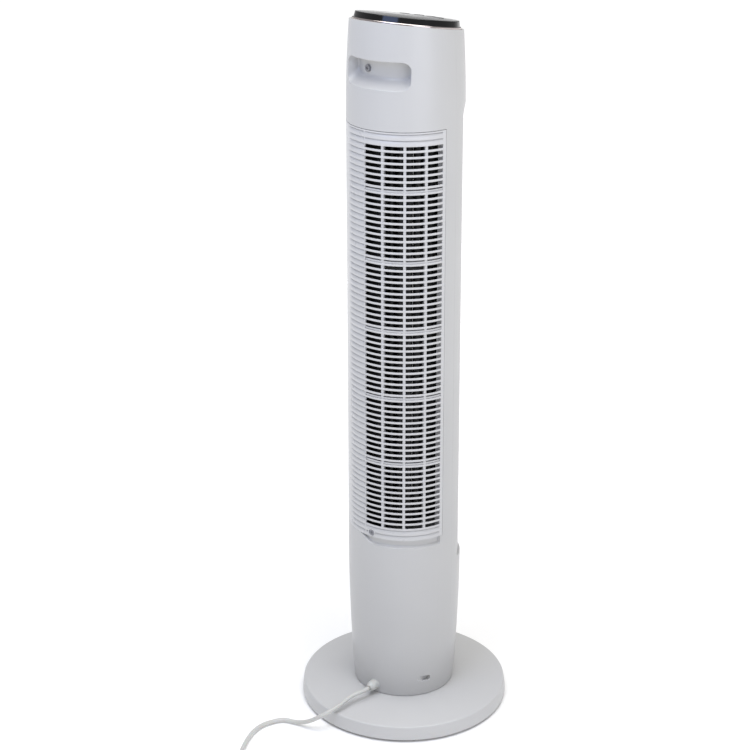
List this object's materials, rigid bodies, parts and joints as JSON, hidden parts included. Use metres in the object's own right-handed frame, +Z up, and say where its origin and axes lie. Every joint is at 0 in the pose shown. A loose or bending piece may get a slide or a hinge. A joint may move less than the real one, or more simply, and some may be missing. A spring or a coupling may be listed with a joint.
{
  "type": "tower fan",
  "caption": "Slim round tower fan on a weighted disc base: slotted rear intake, recessed rear handle, sloping black control cap, column that swings over a geared pivot, cord with coiled end.",
  "frame": {"origin": "on the floor at the middle of the base, on the axis that the column swings about", "axes": "+Z up, -Y towards the front where the air comes out, +Y towards the rear with the handle, +X to the fan's left"},
  "size_m": [0.24, 0.4097, 0.8101],
  "materials": {
    "white_plastic": "semi-gloss moulded ABS",
    "base_plastic": "fine-texture moulded ABS",
    "inner_plastic": "plain moulded polypropylene",
    "black_gloss": "polished",
    "dark_plastic": "plain",
    "chrome_ring": "plated",
    "zinc_steel": "zinc plated",
    "plate_steel": "plain rolled",
    "bronze": "sintered",
    "copper": "enamelled wire",
    "acetal": "moulded",
    "board_green": "solder mask",
    "rubber": "moulded",
    "cord_white": "soft PVC"
  },
  "bodies": {
    "base": {"base_cover": "base_plastic", "base_bottom": "inner_plastic", "ballast_plate": "plate_steel", "rubber_feet": "rubber", "base_screws": "zinc_steel", "pivot_post": "zinc_steel", "pivot_screws": "zinc_steel", "thrust_ring": "acetal", "retaining_washer": "zinc_steel", "retaining_bolt": "zinc_steel", "swing_gear": "acetal", "power_cord": "cord_white", "cord_coil": "cord_white", "cord_tie": "rubber", "plug_body": "cord_white", "plug_pins": "zinc_steel"},
    "column": {"column_floor": "inner_plastic", "rear_shell": "white_plastic", "front_shell": "white_plastic", "floor_screws": "zinc_steel", "handle_screw": "zinc_steel", "rear_grille": "white_plastic", "grille_screw": "zinc_steel", "front_grille": "white_plastic", "trim_ring": "chrome_ring", "top_panel": "black_gloss", "display_window": "black_gloss", "control_board": "board_green", "tact_switches": "dark_plastic", "board_screws": "zinc_steel", "display_module": "dark_plastic", "motor_tray": "inner_plastic", "tray_screws": "zinc_steel", "upper_bracket": "inner_plastic", "bracket_screws": "zinc_steel", "scroll_wall": "inner_plastic", "tongue_wall": "inner_plastic", "motor_core": "plate_steel", "motor_windings": "copper", "motor_shields": "zinc_steel", "motor_bushes": "bronze", "motor_bolts": "zinc_steel", "run_capacitor": "dark_plastic", "bearing_mount": "rubber", "top_bush": "bronze", "swing_motor": "zinc_steel", "swing_motor_screws": "zinc_steel", "terminal_block": "acetal", "wire_harness": "dark_plastic", "strain_relief": "cord_white", "inner_lead": "dark_plastic"},
    "rotor": {"impeller": "inner_plastic", "impeller_hub": "zinc_steel", "motor_shaft": "zinc_steel", "rotor_core": "plate_steel"},
    "pinion": {"swing_pinion": "acetal"},
    "power_key": {"power_button": "dark_plastic"},
    "speed_key": {"speed_button": "dark_plastic"},
    "timer_key": {"timer_button": "dark_plastic"},
    "swing_key": {"swing_button": "dark_plastic"}
  },
  "joints": [
    {"name": "swing", "type": "hinge", "parent": "base", "child": "column", "pos_m": [0, 0, 0.03], "axis": [0, 0, 1], "range_deg": [-35, 35]},
    {"name": "fan_spin", "type": "hinge", "parent": "column", "child": "rotor", "pos_m": [0, 0, 0.2], "axis": [0, 0, 1], "continuous": true},
    {"name": "pinion_spin", "type": "hinge", "parent": "column", "child": "pinion", "pos_m": [0, -0.03, 0.05], "axis": [0, 0, 1], "range_deg": [-142, 142]},
    {"name": "power_press", "type": "slide", "parent": "column", "child": "power_key", "axis": [0, 0.1736, -0.9848], "range_m": [0, 0.0008], "stiffness_N_per_m": 900, "springref_m": -0.0006},
    {"name": "speed_press", "type": "slide", "parent": "column", "child": "speed_key", "axis": [0, 0.1736, -0.9848], "range_m": [0, 0.0008], "stiffness_N_per_m": 900, "springref_m": -0.0006},
    {"name": "timer_press", "type": "slide", "parent": "column", "child": "timer_key", "axis": [0, 0.1736, -0.9848], "range_m": [0, 0.0008], "stiffness_N_per_m": 900, "springref_m": -0.0006},
    {"name": "swing_press", "type": "slide", "parent": "column", "child": "swing_key", "axis": [0, 0.1736, -0.9848], "range_m": [0, 0.0008], "stiffness_N_per_m": 900, "springref_m": -0.0006}
  ],
  "couplings": [
    {"joint": "pinion_spin", "follows": "swing", "ratio": 4}
  ]
}
